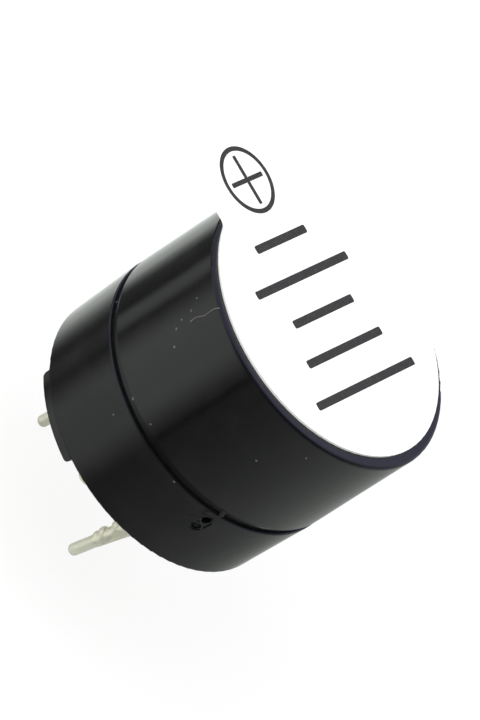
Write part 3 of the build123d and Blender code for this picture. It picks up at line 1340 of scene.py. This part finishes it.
@dataclass
class Studio:
    """White floor, a tent of light panels with dim gaps, one soft key lamp, and the camera.

    The cap's wall mirrors the upper row of panels, the base's wall the middle row, the bevel of the seam
    the lower row, and the top edge the roof. The spans are the heights of a ray, from -1 straight down to
    1 straight up, over which one row gives way to the next.
    """

    aim: tuple[float, float, float] = (0.4574 * MM, 0.6266 * MM, 5.3595 * MM)
    view_bearing: float = 138.7
    view_elevation: float = 35.666
    view_roll: float = 56.937
    view_distance: float = 297.26 * MM
    near_share: float = 0.1
    lens: float = 392.66
    sensor: float = 36.0
    floor_size: float = 3.0
    floor_gap: float = 0.02 * MM
    floor_colour: Colour = (0.93, 0.93, 0.93)
    floor_light: Colour = (0.96, 0.96, 0.96)
    floor_tone: Grain = Grain(30.0 * MM, 2.0, 0.5)
    floor_white_share: float = 0.86
    sky_level: float = 0.9
    panel_tint: Colour = (0.95, 1.0, 0.96)
    upper_row: Row = Row(
        0.07,
        (
            Panel(-21.0, 13.0, 25.0, 0.9),
            Panel(43.0, 2.0, 10.0, 0.47),
            Panel(95.0, 16.0, 30.0, 0.82),
            Panel(139.0, 1.0, 3.0, -0.07),
            Panel(262.0, 12.0, 130.0, 0.41),
        ),
    )
    middle_row: Row = Row(
        0.1,
        (
            Panel(-21.0, 15.0, 34.0, 0.9),
            Panel(43.0, 2.0, 12.0, 0.08),
            Panel(98.0, 16.0, 30.0, 0.58),
            Panel(245.0, 5.0, 125.0, 0.22),
        ),
    )
    lower_row: Row = Row(
        0.04,
        (
            Panel(-48.0, 18.0, 20.0, 0.85),
            Panel(71.0, 8.0, 66.0, 0.36),
            Panel(275.0, 5.0, 85.0, 0.07),
        ),
    )
    roof_row: Row = Row(
        0.0,
        (
            Panel(45.0, 40.0, 50.0, 0.95),
            Panel(268.0, 10.0, 32.0, 0.5),
            Panel(318.0, 14.0, 40.0, 0.83),
        ),
    )
    roof_colour: Colour = (0.05, 0.05, 0.11)
    roof_white: Colour = (0.62, 0.64, 0.92)
    upper_span: Span = (-0.625, -0.59)
    middle_span: Span = (-0.76, -0.66)
    roof_span: Span = (-0.25, 0.35)
    key_bearing: float = 100.0
    key_elevation: float = 60.0
    key_distance: float = 0.4
    key_size: float = 0.3
    key_power: float = 0.9

    def build(self) -> None:
        """Sets the stage, the light and the camera."""
        bpy.context.scene.view_settings.view_transform = "Standard"
        self.build_floor()
        self.build_tent()
        self.build_key()
        self.build_camera()

    def build_floor(self) -> None:
        """Pale floor just under the longer pin, white to the eye and with the object's shadow."""
        bm = bmesh.new()
        bmesh.ops.create_grid(bm, x_segments=1, y_segments=1, size=self.floor_size / 2)
        bmesh.ops.translate(bm, vec=(0.0, 0.0, cad_box[0].z - self.floor_gap), verts=bm.verts)
        mesh = bpy.data.meshes.new("floor")
        bm.to_mesh(mesh)
        bm.free()
        made = bpy.data.objects.new("floor", mesh)
        bpy.context.scene.collection.objects.link(made)
        made.visible_glossy = False
        material = bpy.data.materials.new("floor_paper")
        material.use_nodes = True
        shader = Shader(material.node_tree)
        seen = self.seen(shader, (Ray.CAMERA, Ray.GLOSS, Ray.GLASS))
        tone = shader.blend(self.floor_colour, self.floor_light, shader.noise(self.floor_tone))
        paper = shader.node("ShaderNodeBsdfDiffuse", {}, {"Color": tone})
        white = shader.node("ShaderNodeEmission", {}, {"Color": opaque(WHITE), "Strength": 1.0})
        mixed = shader.node("ShaderNodeMixShader", {}, {0: seen * self.floor_white_share})
        shader.tree.links.new(paper.outputs[0], mixed.inputs[1])
        shader.tree.links.new(white.outputs[0], mixed.inputs[2])
        end = shader.node("ShaderNodeOutputMaterial", {}, {})
        shader.tree.links.new(mixed.outputs[0], end.inputs["Surface"])
        mesh.materials.append(material)

    @staticmethod
    def seen(shader: Shader, rays: Sequence[Ray]) -> Socket:
        """Tells some kinds of ray from the rest.

        Args:
            shader: nodes of the material or the world.
            rays: the kinds to pick out.

        Returns:
            1 for those kinds and 0 for the rest.
        """
        path = shader.node("ShaderNodeLightPath", {}, {})
        picked = Socket(shader, path.outputs[rays[0].value])
        for ray in rays[1:]:
            picked = picked.largest(Socket(shader, path.outputs[ray.value]))
        return picked

    @staticmethod
    def glow(bearing: Socket, row: Row) -> Socket:
        """Level of light in one row of panels.

        Args:
            bearing: bearing of the ray, in degrees.
            row: the panels and the gaps between them.

        Returns:
            The level.
        """
        level = row.gap
        for panel in row.panels:
            turn = ((bearing - panel.middle) / FULL_TURN + 0.5).fraction() - 0.5
            away = turn.size() * FULL_TURN
            level = level + panel.level * (1.0 - away.smooth(panel.half, panel.half + panel.soft))
        return level

    def build_tent(self) -> None:
        """Soft white light all round, with panels and gaps that only gloss shows."""
        world = bpy.data.worlds.new("tent")
        bpy.context.scene.world = world
        world.use_nodes = True
        shader = Shader(world.node_tree)
        x, y, z = shader.axes(shader.value("ShaderNodeTexCoord", {}, {}, "Generated"))
        bearing = y.bearing(x)
        upper = self.glow(bearing, self.upper_row)
        middle = self.glow(bearing, self.middle_row)
        lower = self.glow(bearing, self.lower_row)
        level = middle + (upper - middle) * z.smooth(*self.upper_span)
        level = lower + (level - lower) * z.smooth(*self.middle_span)
        sides = shader.blend(BLACK, self.panel_tint, level)
        roof = shader.blend(self.roof_colour, self.roof_white, self.glow(bearing, self.roof_row))
        tent = shader.blend(sides, roof, z.smooth(*self.roof_span))
        soft = shader.blend((self.sky_level,) * 3, tent, self.seen(shader, (Ray.GLOSS,)))
        colour = shader.blend(soft, WHITE, self.seen(shader, (Ray.CAMERA, Ray.GLASS)))
        back = shader.node("ShaderNodeBackground", {}, {"Color": colour, "Strength": 1.0})
        end = shader.node("ShaderNodeOutputWorld", {}, {})
        shader.tree.links.new(back.outputs[0], end.inputs["Surface"])

    def build_key(self) -> None:
        """Large soft lamp above the front of the object."""
        lamp = bpy.data.lights.new("key", "AREA")
        lamp.shape = "DISK"
        lamp.size = self.key_size
        lamp.energy = self.key_power
        made = bpy.data.objects.new("key", lamp)
        bpy.context.scene.collection.objects.link(made)
        out = self.outward(self.key_bearing, self.key_elevation)
        made.location = Vector(self.aim) + out * self.key_distance
        made.rotation_mode = "QUATERNION"
        made.rotation_quaternion = out.to_track_quat("Z", "Y")
        made.visible_glossy = False

    @staticmethod
    def outward(bearing: float, elevation: float) -> Vector:
        """Unit vector at a bearing and an elevation, in degrees."""
        rise = math.radians(elevation)
        return heading(bearing) * math.cos(rise) + UP * math.sin(rise)

    def build_camera(self) -> None:
        """Camera at the photograph's angle and roll."""
        camera = bpy.data.cameras.new("camera")
        camera.lens = self.lens
        camera.sensor_width = self.sensor
        camera.clip_start = self.view_distance * self.near_share
        made = bpy.data.objects.new("camera", camera)
        bpy.context.scene.collection.objects.link(made)
        back = self.outward(self.view_bearing, self.view_elevation)
        turn = back.to_track_quat("Z", "Y").to_matrix().to_4x4()
        roll = Matrix.Rotation(math.radians(self.view_roll), 4, "Z")
        made.matrix_world = Matrix.Translation(Vector(self.aim) + back * self.view_distance) @ turn @ roll
        bpy.context.scene.camera = made


def main() -> None:
    """Builds and dresses the sub-assemblies in order."""
    logging.basicConfig(level=logging.INFO, format="%(message)s")
    case = Case()
    case.build()
    case.dress()
    label = Label()
    label.build()
    label.dress()
    Terminals().dress()
    Works().dress()
    Studio().build()


if __name__ == "__main__":
    main()
